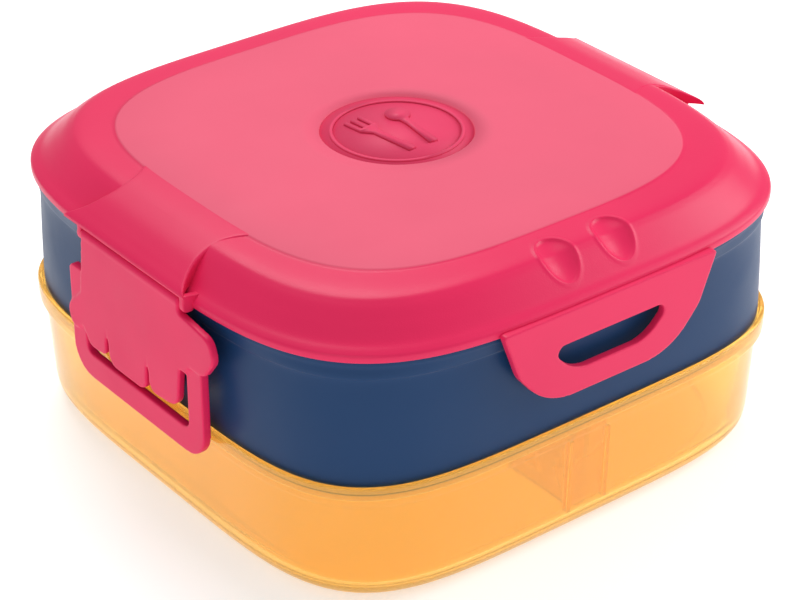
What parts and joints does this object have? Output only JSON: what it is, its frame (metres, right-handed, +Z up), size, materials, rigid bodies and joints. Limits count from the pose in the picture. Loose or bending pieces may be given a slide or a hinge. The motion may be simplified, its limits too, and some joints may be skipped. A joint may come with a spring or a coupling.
{
  "type": "bento lunch box",
  "caption": "Two-tier rounded-square bento lunch box with a domed lid, pull tab, hand-shaped side clips, lift-out divider and snack pot.",
  "frame": {"origin": "on the surface the box stands on, under the middle of its bounding box", "axes": "+X towards the right clip, -Y towards the front with the lid's pull tab, +Z up"},
  "size_m": [0.1864, 0.1826, 0.0905],
  "materials": {
    "clear_amber_plastic": "gloss, translucent",
    "navy_plastic": "satin",
    "pink_plastic": "satin",
    "clip_pink_plastic": "satin",
    "pot_plastic": "satin",
    "silicone": "matte"
  },
  "bodies": {
    "base": {"base_box": "clear_amber_plastic"},
    "divider": {"base_divider": "clear_amber_plastic"},
    "middle": {"middle_box": "navy_plastic", "middle_box_seal": "silicone"},
    "pot": {"snack_pot": "pot_plastic"},
    "pot_lid": {"snack_pot_lid": "pink_plastic"},
    "lid": {"lid": "pink_plastic", "lid_seal": "silicone"},
    "left_clip": {"left_clip": "clip_pink_plastic"},
    "right_clip": {"right_clip": "clip_pink_plastic"}
  },
  "joints": [
    {"name": "divider_lift", "type": "slide", "parent": "base", "child": "divider", "axis": [0, 0, 1], "range_m": [0, 0.04]},
    {"name": "middle_lift", "type": "slide", "parent": "divider", "child": "middle", "axis": [0, 0, 1], "range_m": [0, 0.06]},
    {"name": "pot_lift", "type": "slide", "parent": "middle", "child": "pot", "axis": [0, 0, 1], "range_m": [0, 0.045]},
    {"name": "pot_lid_lift", "type": "slide", "parent": "pot", "child": "pot_lid", "axis": [0, 0, 1], "range_m": [0, 0.015]},
    {"name": "lid_lift", "type": "slide", "parent": "pot_lid", "child": "lid", "axis": [0, 0, 1], "range_m": [0, 0.06]},
    {"name": "left_clip_hinge", "type": "hinge", "parent": "lid", "child": "left_clip", "pos_m": [-0.0913, 0.0007, 0.0788], "axis": [0, 1, 0], "range_deg": [0, 95]},
    {"name": "right_clip_hinge", "type": "hinge", "parent": "lid", "child": "right_clip", "pos_m": [0.0913, 0.0007, 0.0788], "axis": [0, -1, 0], "range_deg": [0, 95]}
  ]
}
